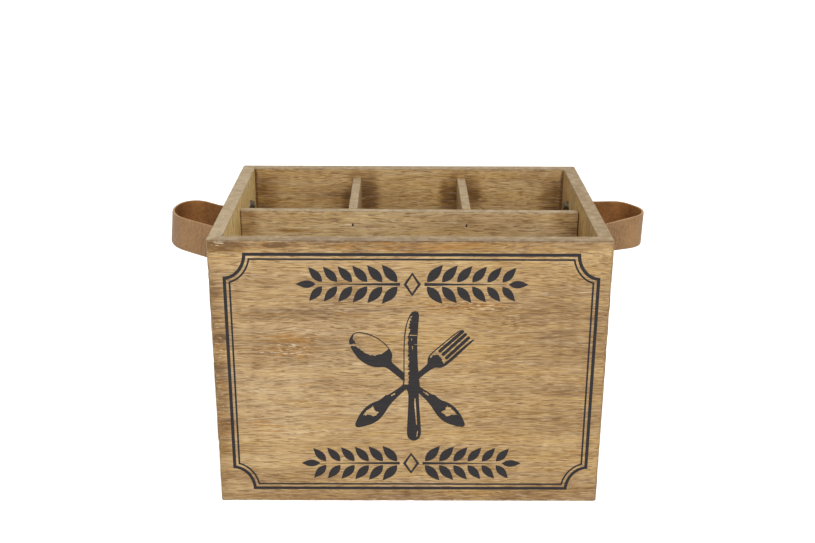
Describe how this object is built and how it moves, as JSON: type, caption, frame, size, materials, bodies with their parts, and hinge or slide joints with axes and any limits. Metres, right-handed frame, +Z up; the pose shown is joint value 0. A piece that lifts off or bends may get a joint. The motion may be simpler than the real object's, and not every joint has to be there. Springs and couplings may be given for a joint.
{
  "type": "kitchen caddy",
  "caption": "Open-topped wooden kitchen caddy with mitred walls, a long front bay, smaller rear bays between dividers, and looped leather strap handles.",
  "frame": {"origin": "on the standing surface, under the middle of the box", "axes": "+X to the right along the front panel, +Y from the front panel to the back panel, +Z up"},
  "size_m": [0.39, 0.21, 0.22],
  "materials": {
    "wall_wood": "golden brown stain, open grain, worn pale edges",
    "divider_wood": "golden brown stain, open grain, pale top edges",
    "base_wood": "golden brown stain",
    "strap_leather": "tan leather, smooth outside, raw brown inside",
    "screw_steel": "zinc plated, dull",
    "brad_steel": "dark bare steel"
  },
  "bodies": {
    "root": {"front_panel": "wall_wood", "back_panel": "wall_wood", "left_side_panel": "wall_wood", "right_side_panel": "wall_wood", "base_panel": "base_wood", "long_divider": "divider_wood", "left_short_divider": "divider_wood", "right_short_divider": "divider_wood", "left_handle_strap": "strap_leather", "right_handle_strap": "strap_leather", "left_handle_screws": "screw_steel", "right_handle_screws": "screw_steel", "left_head_washers": "screw_steel", "right_head_washers": "screw_steel", "left_nut_washers": "screw_steel", "right_nut_washers": "screw_steel", "left_handle_nuts": "screw_steel", "right_handle_nuts": "screw_steel", "corner_brads": "brad_steel", "long_divider_brads": "brad_steel", "short_divider_front_brads": "brad_steel", "short_divider_rear_brads": "brad_steel"}
  },
  "joints": []
}
